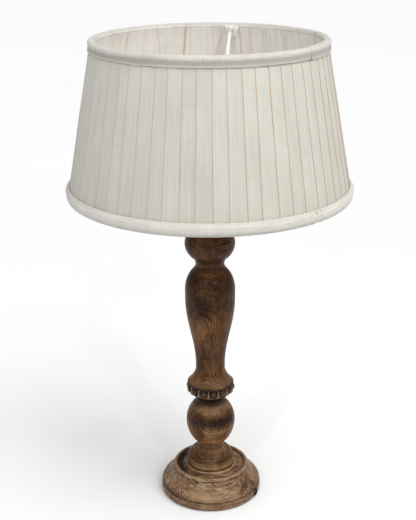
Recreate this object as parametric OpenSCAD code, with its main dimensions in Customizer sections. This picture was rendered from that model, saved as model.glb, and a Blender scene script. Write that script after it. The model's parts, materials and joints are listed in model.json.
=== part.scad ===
// Table lamp: a turned wooden stand with a beaded collar, under a pleated cone shade on a wire frame.
// Millimetres, +Z up. The origin is at the middle of the felt under the base, on the table.
// Heights are above the table, and every turned part shares the Z axis.

/* [Base] */
// Radius of the base at its side band
base_r = 66; // [60:0.5:80]
// Height of the side band above the table
band_h = 11.6; // [11:0.1:13]
// Thickness of the felt pad
felt_t = 1.5; // [1:0.1:2]
// Radius of the raised disc on the base
disc_r = 49.8; // [46:0.2:52]
// Height of the top of the raised disc
disc_h = 38; // [37:0.1:39]
// Radius of the small ring inside the disc
ring_r = 33.9; // [33:0.1:35]

/* [Column] */
// Largest radius of the lower ball
ball_r = 32; // [29:0.1:34]
// Height of the lower ball's middle
ball_z = 102.5; // [101:0.1:104]
// Largest radius of the vase
vase_r = 31.9; // [29:0.1:34]
// Smallest radius of the vase, at its foot
vase_foot_r = 18.8; // [18:0.1:20]
// Largest radius of the top ball
cap_r = 31.7; // [29:0.1:34]
// Height of the top of the wooden column
column_top = 376; // [376:1:378]
// Number of carved beads round the collar
beads = 14; // [10:1:16]

/* [Cable] */
// Direction in which the cable inlet faces, from the front towards the right
inlet_azimuth = 64; // [40:1:90]
// Radius of the inlet's bore
inlet_bore_r = 3.1; // [3:0.1:3.3]

/* [Lampholder] */
// Height of the collar that carries the shade
collar_z = 427; // [425:0.5:430]
// Radius of the threaded skirt above the collar
skirt_r = 18.8; // [18:0.1:19]

/* [Shade] */
// Height of the lowest edge of the shade
shade_bottom = 413.4; // [408:0.1:416]
// Height of the shade from edge to edge
shade_h = 188.9; // [185:0.1:195]
// Radius of the pleated wall at the lowest edge
wall_low_r = 172.8; // [170:0.1:178]
// Radius of the pleated wall at the top edge
wall_top_r = 137.8; // [135:0.1:142]
// Number of carrier arms
arms = 3; // [3:1:3]
// Direction of the first carrier arm, from +X
arm_azimuth = 77.8; // [60:0.1:100]
// Number of upright wires between the two rings
struts = 6; // [6:1:6]

/* [Hidden] */
turn_fn = 96;
small_fn = 40;

// Wood
wood_bore_r = 5.3;
neck_r = 16.7;
dome_base = 38.5;
dome_r = 31.3;
dome_wide_z = 43;
dome_top = 61;
ball_low_h = 38;
ball_high_h = 34.8;
collar_foot = 130.6;
bead_z = 150.5;
bead_r = 5.3;
bead_ring_r = 26.5;
vase_foot = 158;
vase_neck_z = 183;
vase_full_z = 275;
shoulder_z = 288;
shoulder_h = 36;
cap_foot = 321;
cap_z = 349;
cap_half_h = 26;

// Rod and its fasteners
rod_r = 5;
rod_bore_r = 3.5;
recess_r = 17;
recess_top = 26;
rod_foot = 17;
rod_top = 392;
nut_flats = 14;
nut_h = 5;
washer_t = 1.5;
cover_washer_t = 2;

// Cable
inlet_z = 6.3;
inlet_in = 52;
inlet_out = base_r + 0.8;
gland_r = 3.9;
gland_lip_r = 4.6;
flex_r = 2.9;
flex_bend_r = 9;
flex_top = 396;
lead_r = 0.9;

// Lampholder
cap_cup_z = 383;
cap_cup_top = 404;
holder_r = 20.5;
collar_r = 24;
collar_t = 2.2;
skirt_top = 446;
thread_step = 3;
thread_depth = 0.7;
insert_z = 405;
insert_h = 9;
insert_r = 16.2;
sleeve_r = 14.4;
sleeve_bore_r = 13.8;
sleeve_top = 440;
fitter_t = 2;
fitter_bore_r = 20.2;
fitter_r = 28;
fitter_z = collar_z + collar_t + 0.3;
lock_ring_z = fitter_z + fitter_t + 0.3;
lock_ring_h = 8;
lock_ring_r = 25.5;

// Lamp bulb
bulb_tip_z = 421;
bulb_cap_z = 427;
bulb_cap_top = 447;
bulb_cap_r = 12.7;
bulb_r = 30;
bulb_z = 498;
glass_t = 0.8;
glass_foot_r = 12.3;
stem_top = bulb_cap_top + 22;
filament_z = stem_top + 22;

// Shade
shade_top = shade_bottom + shade_h;
cover_t = 1.2;
lining_t = 0.6;
wire_r = 1.3;
wire_in = 2.7;
lining_in = 4.2;
low_wire_z = shade_bottom + 4.5;
top_wire_z = shade_top - 4.3;
low_trim_h = 14.8;
top_trim_h = 13.1;
arm_r = 2.4;
arm_end_r = wall(top_wire_z) - wire_in - 0.8;
arm_end_z = top_wire_z - 1.2;
arm_foot_r = 24.7;
arm_root = 6;

// ---- shared shapes ----

// The points of an elliptical arc round (r, z), from angle a0 to a1 in degrees.
function arc(r, z, rx, rz, a0, a1, n = 12) =
    [for (i = [0:n]) let (a = a0 + (a1 - a0) * i / n) [r + rx * cos(a), z + rz * sin(a)]];

// A smooth S from (r0, z0) to (r1, z1), with both ends upright.
function ease(r0, z0, r1, z1, n = 12) =
    [for (i = [0:n]) let (t = i / n) [r0 + (r1 - r0) * (1 - cos(180 * t)) / 2, z0 + (z1 - z0) * t]];

// The angle on an ellipse of half width a at which it is r wide.
function at_width(r, a) = acos(r / a);

// The radius of the pleated wall at height z.
function wall(z) = wall_low_r + (wall_top_r - wall_low_r) * (z - shade_bottom) / shade_h;

module turned(points) {
    rotate_extrude($fn = turn_fn) polygon(points);
}

// A turned part round the rod: its outline is closed down the bore.
module bored_turning(points) {
    last = len(points) - 1;
    turned(concat([[wood_bore_r, points[0][1]]], points, [[wood_bore_r, points[last][1]]]));
}

module tube(r, bore, z0, z1) {
    difference() {
        translate([0, 0, z0]) cylinder(r = r, h = z1 - z0, $fn = turn_fn);
        translate([0, 0, z0 - 1]) cylinder(r = bore, h = z1 - z0 + 2, $fn = turn_fn);
    }
}

module hex_nut(z0, h) {
    difference() {
        translate([0, 0, z0]) cylinder(r = nut_flats / 2 / cos(30), h = h, $fn = 6);
        translate([0, 0, z0 - 1]) cylinder(r = rod_r + 0.05, h = h + 2, $fn = turn_fn);
    }
}

// A straight round bar from a to b.
module bar(a, b, r) {
    d = b - a;
    translate(a)
        rotate([0, acos(d[2] / norm(d)), atan2(d[1], d[0])])
            cylinder(r = r, h = norm(d), $fn = small_fn);
}

module wire_ring(r, z, wire) {
    rotate_extrude($fn = turn_fn) translate([r, z]) circle(r = wire, $fn = small_fn);
}

// Lays its children out along the cable inlet: +X is the way out.
module along_inlet() {
    rotate([0, 0, inlet_azimuth - 90]) children();
}

// A wall of the shade: a cone shell that starts inset from the pleated wall.
module shade_shell(inset, thick, z0, z1) {
    turned([[wall(z0) - inset, z0], [wall(z1) - inset, z1],
            [wall(z1) - inset - thick, z1], [wall(z0) - inset - thick, z0]]);
}

// ---- base ----

module base_felt() {
    color("dimgray") cylinder(r = base_r - 4, h = felt_t, $fn = turn_fn);
}

module base_plate() {
    // Side band, groove, ogee slope, raised disc, hollow, small ring.
    outline = concat(
        [[0, felt_t], [base_r - 1.2, felt_t]],
        arc(base_r - 1.2, felt_t + 1.2, 1.2, 1.2, -90, 0, 4),
        [[base_r, band_h - 1.2], [base_r - 0.9, band_h - 0.4], [base_r - 0.6, band_h + 0.4]],
        arc(base_r - 9, band_h + 0.8, 8.6, 8.2, 10, 62, 8),
        [[disc_r + 5.2, 24.7], [disc_r + 2.3, 29.2], [disc_r - 0.4, 32.8], [disc_r - 0.7, 33.8]],
        arc(disc_r - 3, disc_h - 3, 3, 3, -12, 115, 8),
        arc(disc_r - 9, disc_h - 1.2, 3.6, 2.2, -10, -165, 8),
        [[ring_r + 0.6, disc_h - 2.4]],
        arc(ring_r - 1, disc_h - 1.4, 1, 1.2, 0, 90, 4),
        [[dome_r - 1.4, disc_h - 0.1], [dome_r - 1.6, dome_base - 1.5], [0, dome_base - 1.5]]);
    color("peru") difference() {
        turned(outline);
        cylinder(r = wood_bore_r, h = dome_base, $fn = turn_fn);
        cylinder(r = recess_r, h = recess_top, $fn = turn_fn);
        along_inlet() translate([0, 0, inlet_z]) rotate([0, 90, 0]) {
            cylinder(r = flex_r + 0.5, h = inlet_in, $fn = small_fn);
            cylinder(r = gland_r, h = base_r + 5, $fn = small_fn);
            translate([0, 0, base_r - 1.6]) cylinder(r = gland_lip_r, h = 5, $fn = small_fn);
        }
    }
}

module cable_gland() {
    color("black") along_inlet() translate([0, 0, inlet_z]) rotate([0, 90, 0]) difference() {
        union() {
            translate([0, 0, inlet_in]) cylinder(r = gland_r - 0.05, h = inlet_out - inlet_in, $fn = small_fn);
            translate([0, 0, base_r - 1.6]) cylinder(r = gland_lip_r - 0.05, h = inlet_out - base_r + 1.6, $fn = small_fn);
        }
        translate([0, 0, inlet_in - 1]) cylinder(r = inlet_bore_r, h = inlet_out, $fn = small_fn);
    }
}

// ---- column ----

module rod_nut() {
    color("silver") hex_nut(recess_top - washer_t - nut_h, nut_h);
}

module rod_washer() {
    color("silver") tube(11, rod_r + 0.3, recess_top - washer_t, recess_top);
}

module threaded_rod() {
    color("silver") tube(rod_r, rod_bore_r, rod_foot, rod_top);
}

module lower_baluster() {
    foot = -at_width(neck_r, ball_r);
    head = at_width(vase_foot_r + 0.1, ball_r);
    outline = concat(
        [[dome_r - 1.8, dome_base - 1.5], [dome_r - 1.6, dome_base]],
        arc(dome_r - 2.6, dome_wide_z - 2, 2.4, 2.6, -60, 30, 5),
        arc(neck_r - 2, dome_wide_z, dome_r - neck_r + 2, dome_top - dome_wide_z, 6, 78, 12),
        [[neck_r, dome_top + 0.6], [neck_r, dome_top + 4]],
        arc(0, ball_z, ball_r, ball_low_h, foot, 0, 16),
        arc(0, ball_z, ball_r, ball_high_h, 4, head, 13),
        [[vase_foot_r - 0.3, collar_foot]]);
    color("saddlebrown") bored_turning(outline);
}

module bead_collar() {
    // A flared cup with a row of beads round its rim.
    outline = concat(
        [[vase_foot_r, collar_foot], [vase_foot_r + 0.2, collar_foot + 2.4], [20.4, collar_foot + 6.2],
         [28.3, bead_z - 5.4]],
        [[28.3, bead_z + 5.2], [29.8, bead_z + 5.7], [29.8, vase_foot]]);
    color("#3a2414") union() {
        bored_turning(outline);
        for (i = [0:beads - 1])
            rotate([0, 0, -83 + 360 * i / beads])
                translate([bead_ring_r, 0, bead_z]) sphere(r = bead_r, $fn = small_fn);
    }
}

module upper_baluster() {
    skirt = [for (i = [0:10]) let (t = i / 10)
        [vase_foot_r + (29.6 - vase_foot_r) * pow(1 - t, 1.9), vase_foot + (vase_neck_z - 4 - vase_foot) * t]];
    outline = concat(
        skirt,
        ease(vase_foot_r, vase_neck_z, vase_r, vase_full_z, 24),
        arc(0, shoulder_z, vase_r, shoulder_h, 0, at_width(neck_r + 4.2, vase_r), 16),
        [[neck_r + 2.3, cap_foot - 2.7], [neck_r + 1.4, cap_foot]]);
    color("#5a4030") bored_turning(outline);
}

module cap_ball() {
    low = -at_width(neck_r + 4.2, cap_r);
    outline = concat(
        [[neck_r + 1.4, cap_foot], [neck_r + 1.6, cap_foot + 2], [neck_r + 2.6, cap_foot + 5.5]],
        arc(0, cap_z, cap_r, cap_half_h, low, at_width(neck_r, cap_r), 24),
        [[neck_r, column_top - 3], [neck_r - 0.6, column_top]]);
    color("#3a2414") bored_turning(outline);
}

module column_washer() {
    color("goldenrod") tube(15, rod_r + 0.1, column_top, column_top + cover_washer_t);
}

module holder_locknut() {
    color("goldenrod") hex_nut(column_top + cover_washer_t, cap_cup_z - column_top - cover_washer_t);
}

// ---- wiring that the lamp holds ----

module inner_flex() {
    bend_z = inlet_z + flex_bend_r;
    color("black") along_inlet() union() {
        translate([flex_bend_r, 0, inlet_z]) rotate([0, 90, 0])
            cylinder(r = flex_r, h = inlet_in - flex_bend_r, $fn = small_fn);
        translate([flex_bend_r, 0, bend_z]) rotate([90, 0, 0]) rotate([0, 0, 180])
            rotate_extrude(angle = 90, $fn = turn_fn)
                translate([flex_bend_r, 0]) circle(r = flex_r, $fn = small_fn);
        translate([0, 0, bend_z]) cylinder(r = flex_r, h = flex_top - bend_z, $fn = small_fn);
    }
}

// One core of the flex, from its end up to a terminal under the insert.
module lead(side) {
    foot = [side * 1.3, 0, flex_top];
    low_knee = [side * 1.3, 0, flex_top + 1.2];
    knee = [side * 7, 0, flex_top + 4];
    bar(foot, low_knee, lead_r);
    translate(low_knee) sphere(r = lead_r, $fn = small_fn);
    bar(low_knee, knee, lead_r);
    translate(knee) sphere(r = lead_r, $fn = small_fn);
    bar(knee, [side * 7, 0, insert_z], lead_r);
}

module live_lead() {
    color("brown") union() lead(1);
}

module neutral_lead() {
    color("royalblue") union() lead(-1);
}

// ---- lampholder ----

module holder_cap() {
    // The cup that screws on the rod and closes the lampholder from below.
    color("#222222") turned(concat(
        [[rod_r + 0.05, cap_cup_z], [11, cap_cup_z]],
        arc(11, cap_cup_z + 9.4, holder_r - 11, 9.4, -90, 0, 8),
        [[holder_r, cap_cup_top], [holder_r - 1.8, cap_cup_top], [holder_r - 1.8, cap_cup_z + 10],
         [10.4, cap_cup_z + 2], [9, cap_cup_z + 10], [rod_r + 0.05, cap_cup_z + 10]]));
}

module holder_shell() {
    ridges = floor((skirt_top - 1 - collar_z - collar_t) / thread_step);
    threads = [for (i = [0:ridges - 1]) let (z = collar_z + collar_t + thread_step * i)
        each [[skirt_r, z + 0.6], [skirt_r + thread_depth, z + 1.5], [skirt_r, z + 2.4]]];
    color("#222222") turned(concat(
        [[holder_r, cap_cup_top], [holder_r, collar_z - 2], [collar_r, collar_z], [collar_r, collar_z + collar_t],
         [skirt_r, collar_z + collar_t]],
        threads,
        [[skirt_r, skirt_top], [skirt_r - 1.8, skirt_top], [skirt_r - 1.8, cap_cup_top + 1],
         [holder_r - 1.9, cap_cup_top]]));
}

module holder_insert() {
    color("ivory") difference() {
        translate([0, 0, insert_z]) cylinder(r = insert_r, h = insert_h, $fn = turn_fn);
        for (side = [-1, 1]) {
            translate([side * 7, 0, insert_z - 1]) cylinder(r = 1.6, h = 7, $fn = small_fn);
            translate([side * 7, -insert_r - 1, insert_z + 4]) rotate([-90, 0, 0])
                cylinder(r = 1.6, h = insert_r + 1, $fn = small_fn);
        }
        translate([0, 0, insert_z + 3]) cylinder(r = 1.5, h = insert_h, $fn = small_fn);
        translate([11.6, -2.2, insert_z + 6]) cube([3, 4.4, insert_h]);
    }
}

module terminal_screws() {
    color("silver") for (side = [-1, 1])
        translate([side * 7, -insert_r + 1.7, insert_z + 4]) rotate([-90, 0, 0])
            cylinder(r = 1.5, h = insert_r - 3.7, $fn = small_fn);
}

module screw_sleeve() {
    ridges = floor((sleeve_top - insert_z - insert_h - 1) / thread_step);
    z0 = insert_z + insert_h;
    outer = [for (i = [0:ridges - 1]) let (z = z0 + 1 + thread_step * i)
        each [[sleeve_r, z], [sleeve_r + 0.5, z + thread_step / 2]]];
    inner = [for (i = [ridges - 1:-1:0]) let (z = z0 + 1 + thread_step * i)
        each [[sleeve_bore_r + 0.4, z + thread_step / 2], [sleeve_bore_r, z]]];
    color("goldenrod") turned(concat(
        [[sleeve_r, z0]], outer, [[sleeve_r, sleeve_top], [sleeve_bore_r, sleeve_top]], inner,
        [[sleeve_bore_r, z0]]));
}

module centre_contact() {
    // A rivet with a sprung tongue that meets the bulb's tip.
    z0 = insert_z + insert_h;
    color("goldenrod") union() {
        translate([0, 0, insert_z + 3.1]) cylinder(r = 1.4, h = insert_h - 3, $fn = small_fn);
        translate([-5, -2.5, z0 + 0.1]) cube([10, 5, 0.7]);
        translate([-5, -2.5, z0 + 0.1]) rotate([0, -38, 0]) cube([9.3, 5, 0.7]);
    }
}

module side_contact() {
    color("goldenrod") translate([11.8, -2, insert_z + 6.2])
        cube([0.8, 4, insert_h + 1]);
}

// ---- shade carrier and frame ----

module lock_ring() {
    grips = 18;
    color("#222222") difference() {
        tube(lock_ring_r, skirt_r + thread_depth + 0.35, lock_ring_z, lock_ring_z + lock_ring_h);
        for (i = [0:grips - 1])
            rotate([0, 0, 360 * i / grips]) translate([lock_ring_r + 0.7, 0, lock_ring_z + 2])
                cylinder(r = 1.6, h = lock_ring_h, $fn = small_fn);
    }
}

module fitter_ring() {
    color("white") tube(fitter_r, fitter_bore_r, fitter_z, fitter_z + fitter_t);
}

module top_wire_ring() {
    color("white") wire_ring(wall(top_wire_z) - wire_in, top_wire_z, wire_r);
}

module bottom_wire_ring() {
    color("white") wire_ring(wall(low_wire_z) - wire_in, low_wire_z, wire_r);
}

// Repeats its children in the direction of each carrier arm.
module each_arm() {
    for (i = [0:arms - 1]) rotate([0, 0, arm_azimuth + 360 * i / arms]) children();
}

// The arm's full bar. It starts a little below the fitter ring's top, where its foot is cut off.
module arm_bar(r) {
    slope = (arm_end_z - fitter_z - fitter_t) / (arm_end_r - arm_foot_r);
    bar([arm_foot_r - arm_root / slope, 0, fitter_z + fitter_t - arm_root], [arm_end_r, 0, arm_end_z], r);
}

// Arm i runs from the fitter ring, just outside the lock ring, up to the top ring.
module carrier_arm(i) {
    color("white") rotate([0, 0, arm_azimuth + 360 * i / arms]) difference() {
        arm_bar(arm_r);
        translate([0, 0, fitter_z - arm_root - 5])
            cylinder(r = fitter_r + 5, h = arm_root + 5 + fitter_t, $fn = turn_fn);
        cylinder(r = lock_ring_r + 0.5, h = lock_ring_z + lock_ring_h + 2, $fn = turn_fn);
    }
}

// Strut i stands between the two wire rings, behind the pleats.
module frame_strut(i) {
    z0 = low_wire_z + wire_r;
    z1 = top_wire_z - wire_r;
    color("white") rotate([0, 0, arm_azimuth + 360 * i / struts])
        bar([wall(z0) - wire_in, 0, z0], [wall(z1) - wire_in, 0, z1], wire_r);
}

// ---- shade cloth, as plain solids ----

module shade_cover() {
    color("ivory") shade_shell(0, cover_t, shade_bottom + 4.2, shade_top - 2.3);
}

module shade_lining() {
    color("mistyrose") difference() {
        shade_shell(lining_in, lining_t, shade_bottom + 4.4, shade_top - 3.6);
        each_arm() arm_bar(arm_r + 0.1);
    }
}

module top_trim() {
    z = shade_top - 4.1;
    r = wall(z) - 1.6;
    low = shade_top - top_trim_h;
    color("floralwhite") difference() {
        turned(concat(
            [[wall(low) + 1.3, low]],
            arc(r, z, 4.4, 4.1, 0, 180, 16),
            [[r - 4.4, z - 1.4], [r - 3.4, z - 1.4]],
            arc(r, z, 3.4, 3.1, 180, 0, 16),
            [[wall(low) + 0.2, low]]));
        each_arm() arm_bar(arm_r + 0.1);
    }
}

module bottom_trim() {
    z = shade_bottom + 6.2;
    r = wall(z) - 1.8;
    high = shade_bottom + low_trim_h;
    color("floralwhite") turned(concat(
        [[wall(high - 4) + 4.1, high - 4], [wall(high - 1.6) + 3.6, high - 1.6], [wall(high) + 2, high],
         [wall(high) + 0.2, high]],
        arc(r, z, 3.3, 5, 0, -180, 16),
        [[wall(z + 6) - 5, z + 6], [wall(z + 6) - 6.1, z + 6]],
        arc(r, z, 4.4, 6.2, -180, 0, 16)));
}

// ---- lamp bulb ----

module bulb_glass() {
    neck_a = -50;
    foot_r = glass_foot_r - glass_t;
    outer = concat(
        [[glass_foot_r, bulb_cap_top - 3], [glass_foot_r, bulb_cap_top + 0.2], [glass_foot_r + 1.6, bulb_cap_top + 4]],
        arc(0, bulb_z, bulb_r, bulb_r, neck_a, 90, 20));
    inner = concat(
        arc(0, bulb_z, bulb_r - glass_t, bulb_r - glass_t, 90, neck_a, 20),
        [[foot_r + 1.6, bulb_cap_top + 4], [foot_r, bulb_cap_top + 0.2], [foot_r, bulb_cap_top - 3]]);
    color("whitesmoke") turned(concat(outer, inner));
}

module bulb_cap() {
    ridges = floor((bulb_cap_top - bulb_cap_z - 3) / thread_step);
    outer = [for (i = [0:ridges - 1]) let (z = bulb_cap_z + 1 + thread_step * i)
        each [[bulb_cap_r, z], [bulb_cap_r + 0.6, z + thread_step / 2]]];
    color("silver") turned(concat(
        [[bulb_cap_r - 0.4, bulb_cap_z]], outer,
        [[bulb_cap_r, bulb_cap_top], [bulb_cap_r - 0.35, bulb_cap_top], [bulb_cap_r - 0.35, bulb_cap_z + 0.3],
         [5, bulb_cap_z + 0.3], [5, bulb_cap_z]]));
}

module bulb_insulator() {
    color("#111111") turned([[0, bulb_tip_z + 1.5], [4.4, bulb_tip_z + 1.5], [bulb_cap_r - 0.5, bulb_cap_z],
        [5, bulb_cap_z], [5, bulb_cap_z + 0.3], [0, bulb_cap_z + 0.3]]);
}

module bulb_contact() {
    color("silver") translate([0, 0, bulb_tip_z]) cylinder(r1 = 3.2, r2 = 4.2, h = 1.5, $fn = small_fn);
}

// The two wires that stand in the stem and hold the filament.
module filament_legs(r) {
    for (side = [-1, 1]) bar([side * 2, 0, stem_top - 0.5], [side * 13, 0, filament_z + 0.8], r);
}

module bulb_stem() {
    // The glass foot that holds the lead wires.
    color("lightcyan") difference() {
        turned([[0, bulb_cap_z + 8], [9, bulb_cap_z + 8], [6.5, bulb_cap_top + 6],
            [3.2, stem_top], [0, stem_top]]);
        filament_legs(0.6);
    }
}

module bulb_filament() {
    color("darkgray") union() {
        filament_legs(0.5);
        translate([-12.6, 0, filament_z]) rotate([0, 90, 0]) cylinder(r = 0.3, h = 25.2, $fn = small_fn);
    }
}

base_felt();
base_plate();
rod_nut();
rod_washer();
threaded_rod();
lower_baluster();
bead_collar();
upper_baluster();
cap_ball();
column_washer();
holder_locknut();
cable_gland();
inner_flex();
live_lead();
neutral_lead();
holder_cap();
holder_shell();
holder_insert();
screw_sleeve();
centre_contact();
side_contact();
terminal_screws();
lock_ring();
fitter_ring();
top_wire_ring();
bottom_wire_ring();
for (i = [1:arms]) carrier_arm(i - 1);
for (i = [1:struts]) frame_strut(i - 0.5);
shade_cover();
shade_lining();
top_trim();
bottom_trim();
bulb_glass();
bulb_cap();
bulb_insulator();
bulb_contact();
bulb_stem();
bulb_filament();
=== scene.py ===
"""The looks of the table lamp: turned and stained wood, a pleated linen shade, its trims and its
metalwork."""

import json
import math
import random

import bmesh
import bpy
from mathutils import Matrix, Vector, noise


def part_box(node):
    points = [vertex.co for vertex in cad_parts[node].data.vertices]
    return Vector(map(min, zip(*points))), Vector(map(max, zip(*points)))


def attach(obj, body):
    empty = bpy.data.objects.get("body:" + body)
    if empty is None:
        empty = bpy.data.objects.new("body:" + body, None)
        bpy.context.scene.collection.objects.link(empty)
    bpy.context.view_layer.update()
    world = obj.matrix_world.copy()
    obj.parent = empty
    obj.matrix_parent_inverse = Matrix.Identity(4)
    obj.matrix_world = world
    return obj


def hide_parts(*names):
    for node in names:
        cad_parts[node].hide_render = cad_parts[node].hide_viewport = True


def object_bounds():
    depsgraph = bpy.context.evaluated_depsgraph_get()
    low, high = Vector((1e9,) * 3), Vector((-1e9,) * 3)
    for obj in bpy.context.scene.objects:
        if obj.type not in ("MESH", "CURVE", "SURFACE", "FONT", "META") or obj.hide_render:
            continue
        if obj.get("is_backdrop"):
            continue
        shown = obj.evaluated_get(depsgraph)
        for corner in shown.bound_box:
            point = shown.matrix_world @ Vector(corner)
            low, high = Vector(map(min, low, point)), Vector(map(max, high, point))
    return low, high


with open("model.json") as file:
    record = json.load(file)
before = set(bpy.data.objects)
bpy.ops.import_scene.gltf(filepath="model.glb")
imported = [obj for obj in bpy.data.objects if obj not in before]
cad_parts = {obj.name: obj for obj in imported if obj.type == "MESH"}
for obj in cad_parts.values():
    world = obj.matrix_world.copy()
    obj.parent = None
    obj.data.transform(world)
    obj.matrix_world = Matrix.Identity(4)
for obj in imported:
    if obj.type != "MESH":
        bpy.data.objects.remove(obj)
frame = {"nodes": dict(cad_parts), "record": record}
cad_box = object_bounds()

MM = 0.001  # the lamp's sizes are in millimetres, and become metres in its meshes
rng = random.Random(7)


# ---- places and sizes, the same as in the CAD model ----

TURN = 360  # steps round a turned part

BASE_R = 66.0
BAND_H = 11.6
FELT_T = 1.5
DISC_R = 49.8
DISC_H = 38.0
RING_R = 33.9

BORE_R = 5.3
NECK_R = 16.7
DOME_BASE = 38.5
DOME_R = 31.3
DOME_WIDE_Z = 43.0
DOME_TOP = 61.0
BALL_R = 32.0
BALL_Z = 102.5
BALL_LOW_H = 38.0
BALL_HIGH_H = 34.8
COLLAR_FOOT = 130.6
BEADS = 14
BEAD_Z = 150.5
BEAD_R = 28.2
BEAD_BAND = 5.4
BEAD_HALF_H = 5.0
BEAD_SHARE = 0.74
FIRST_BEAD = math.radians(-83)
VASE_FOOT = 158.0
VASE_NECK_Z = 183.0
VASE_NECK_R = 18.8
VASE_R = 31.9
VASE_FULL_Z = 275.0
SHOULDER_Z = 288.0
SHOULDER_H = 36.0
CAP_FOOT = 321.0
CAP_R = 31.7
CAP_WAIST_R = NECK_R + 4.2
CAP_Z = 349.0
CAP_HALF_H = 26.0
COLUMN_TOP = 376.0

INLET_AZIMUTH = math.radians(64)
INLET_Z = 6.3

SHADE_BOTTOM = 413.4
SHADE_TOP = SHADE_BOTTOM + 188.9
WALL_LOW_R = 172.8
WALL_TOP_R = 137.8
LOW_TRIM_H = 14.8
TOP_TRIM_H = 13.1

PLEATS = 57
FIRST_FOLD = math.radians(-89)


def wall(z):
    """The radius of the pleated wall at height z."""
    return WALL_LOW_R + (WALL_TOP_R - WALL_LOW_R) * (z - SHADE_BOTTOM) / (SHADE_TOP - SHADE_BOTTOM)


def ease(t):
    """0 to 1 with a soft start and end."""
    t = min(1.0, max(0.0, t))
    return t * t * (3 - 2 * t)


def bell(x, middle, width):
    """1 at the middle, and near 0 past twice the width."""
    return math.exp(-(((x - middle) / width) ** 2))


def turn_apart(a, b):
    """The angle between two directions, from 0 to pi."""
    return abs((a - b + math.pi) % (2 * math.pi) - math.pi)


def facing(azimuth):
    """The angle from +X of a direction that is given in degrees from the front, to the right."""
    return math.radians(azimuth - 90)


def at(r, angle, z):
    """A point from its distance and direction from the lamp's axis, and its height."""
    return (r * math.cos(angle), r * math.sin(angle), z)


def ring_noise(angle, size, along):
    """Smooth noise from -1 to 1 that meets itself after a full turn. It runs faster round a bigger
    size, and along is its place the other way."""
    return noise.noise(Vector(at(size, angle, along)))


# ---- camera, floor and light ----


def add_camera():
    """The camera at the photograph's angle: 20 degrees down, with a hair of roll."""
    place = (-0.00927, -1.2131, 0.76698)
    pitch = math.radians(19.98)
    roll = math.radians(-0.42)
    right = Vector((1, 0, 0))
    up = Vector((0, math.sin(pitch), math.cos(pitch)))
    ahead = Vector((0, math.cos(pitch), -math.sin(pitch)))
    x_axis = right * math.cos(roll) + up * math.sin(roll)
    y_axis = up * math.cos(roll) - right * math.sin(roll)
    data = bpy.data.cameras.new("camera")
    data.sensor_width = 36
    data.lens = 71.13
    data.shift_x = 0.0105
    data.clip_start = 0.05
    data.clip_end = 50
    camera = bpy.data.objects.new("camera", data)
    bpy.context.collection.objects.link(camera)
    turn = Matrix((x_axis, y_axis, -ahead)).transposed().to_4x4()
    camera.matrix_world = Matrix.Translation(place) @ turn
    bpy.context.scene.camera = camera


def add_light(kind, name, power, colour):
    data = bpy.data.lights.new(name, kind)
    data.energy = power
    data.color = colour
    light = bpy.data.objects.new(name, data)
    bpy.context.collection.objects.link(light)
    return light


def add_softbox(name, place, power, colour):
    """A small round light, turned towards the lamp's lower half."""
    light = add_light("AREA", name, power, colour)
    light.data.shape = "DISK"
    light.data.size = 0.12
    light.location = place
    aim = Vector((0, 0, 0.25))
    light.rotation_euler = (aim - light.location).to_track_quat("-Z", "Y").to_euler()


def add_sun(name, azimuth, elevation, spread, power, colour):
    """A broad soft light from far away. Azimuth is in degrees from the front, to the right."""
    light = add_light("SUN", name, power, colour)
    light.data.angle = math.radians(spread)
    rise = math.radians(elevation)
    away = Vector(at(math.cos(rise), facing(azimuth), math.sin(rise)))
    light.rotation_euler = away.to_track_quat("Z", "Y").to_euler()


def add_studio():
    """A white floor under a bright sky, a broad light from high on the right, and two softboxes."""
    world = bpy.data.worlds.new("studio")
    bpy.context.scene.world = world
    world.use_nodes = True
    air = world.node_tree.nodes["Background"]
    air.inputs["Color"].default_value = (0.97, 0.985, 1.0, 1)
    air.inputs["Strength"].default_value = 0.5
    add_sun(
        "broad_top", azimuth=52, elevation=62, spread=45, power=1.87, colour=(1.0, 0.992, 0.974)
    )
    add_softbox("softbox_right", (0.75, -1.9, 1.42), power=6, colour=(0.97, 0.985, 1.0))
    add_softbox("softbox_left", (-0.75, -1.9, 1.42), power=5.2, colour=(0.95, 0.98, 1.0))

    bpy.ops.mesh.primitive_circle_add(vertices=96, radius=12, fill_type="NGON")
    floor = bpy.context.object
    floor.name = "floor"
    floor.data.materials.append(floor_paint())
    floor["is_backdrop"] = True
    bpy.context.scene.view_settings.view_transform = "Standard"


# ---- node helpers ----


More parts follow.
